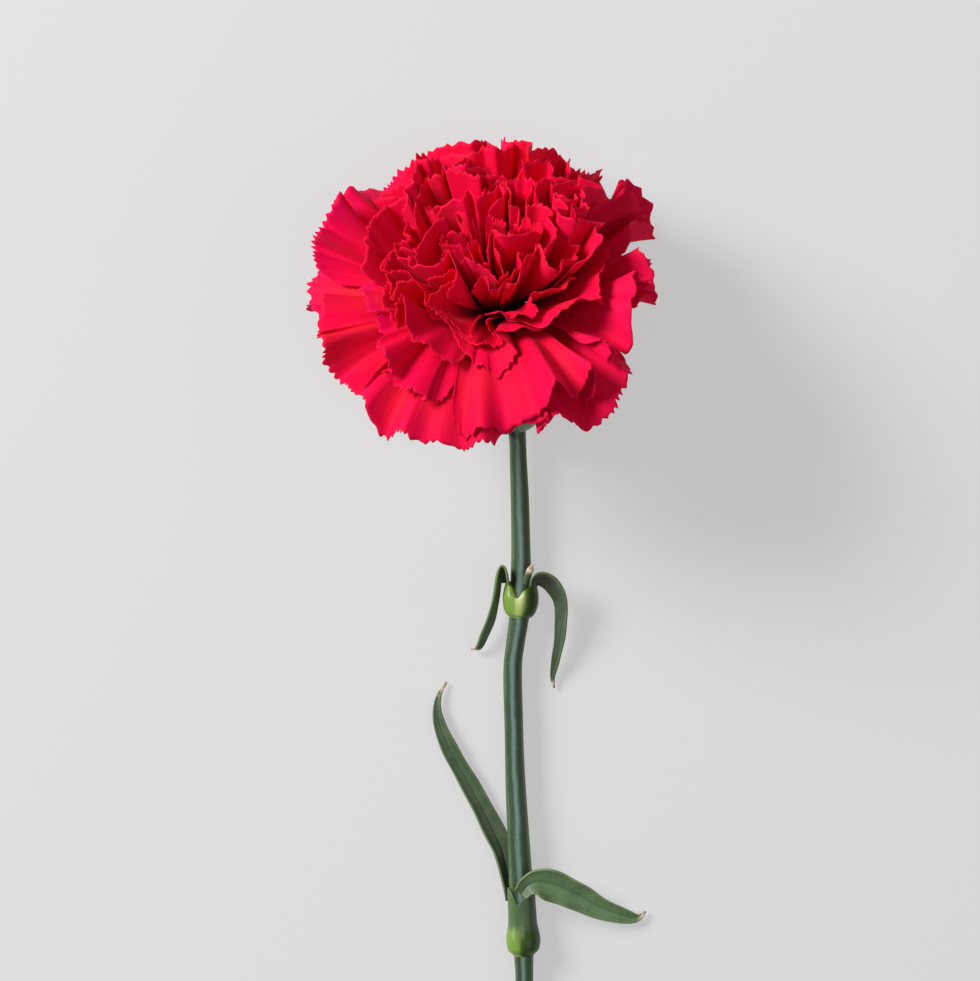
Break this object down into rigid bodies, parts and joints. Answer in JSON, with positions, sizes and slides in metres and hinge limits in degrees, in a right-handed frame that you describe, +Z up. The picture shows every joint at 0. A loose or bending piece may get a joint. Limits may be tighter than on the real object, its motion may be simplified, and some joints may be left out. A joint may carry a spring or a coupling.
{
  "type": "cut carnation",
  "caption": "Cut carnation with a full bloom of toothed petals, a jointed stem with narrow curling leaves, and a slanting cut end, lying on a surface.",
  "frame": {"origin": "middle of the bottom of the bounding box, on the surface that the flower lies on", "axes": "+Z up from the surface, +Y along the stem from its cut end towards the bloom, +X to the right of the stem seen from above"},
  "size_m": [0.0676, 0.2182, 0.0529],
  "materials": {
    "petal": "soft crimson petal with a satin sheen and paler margin",
    "stem": "grey-green skin with a waxy bloom",
    "leaf": "grey-green leaf with a waxy bloom and dry pale tip",
    "collar": "yellow-green swollen sheath",
    "calyx": "smooth green tube",
    "bract": "green scale",
    "shoot": "pale green shoot with a dry tip"
  },
  "bodies": {
    "root": {"petal_01": "petal", "petal_02": "petal", "petal_03": "petal", "petal_04": "petal", "petal_05": "petal", "petal_06": "petal", "petal_07": "petal", "petal_08": "petal", "petal_09": "petal", "petal_10": "petal", "petal_11": "petal", "petal_12": "petal", "petal_13": "petal", "petal_14": "petal", "petal_15": "petal", "petal_16": "petal", "petal_17": "petal", "petal_18": "petal", "petal_19": "petal", "petal_20": "petal", "petal_21": "petal", "petal_22": "petal", "petal_23": "petal", "petal_24": "petal", "petal_25": "petal", "petal_26": "petal", "petal_27": "petal", "petal_28": "petal", "petal_29": "petal", "petal_30": "petal", "petal_31": "petal", "petal_32": "petal", "petal_33": "petal", "petal_34": "petal", "petal_35": "petal", "petal_36": "petal", "petal_37": "petal", "petal_38": "petal", "petal_39": "petal", "petal_40": "petal", "petal_41": "petal", "petal_42": "petal", "petal_43": "petal", "petal_44": "petal", "petal_45": "petal", "stem": "stem", "collar_upper": "collar", "collar_lower": "collar", "leaf_upper_left": "leaf", "leaf_upper_right": "leaf", "leaf_lower_left": "leaf", "leaf_lower_right": "leaf", "shoot": "shoot", "calyx": "calyx", "bract_1": "bract", "bract_2": "bract", "bract_3": "bract", "bract_4": "bract"}
  },
  "joints": []
}
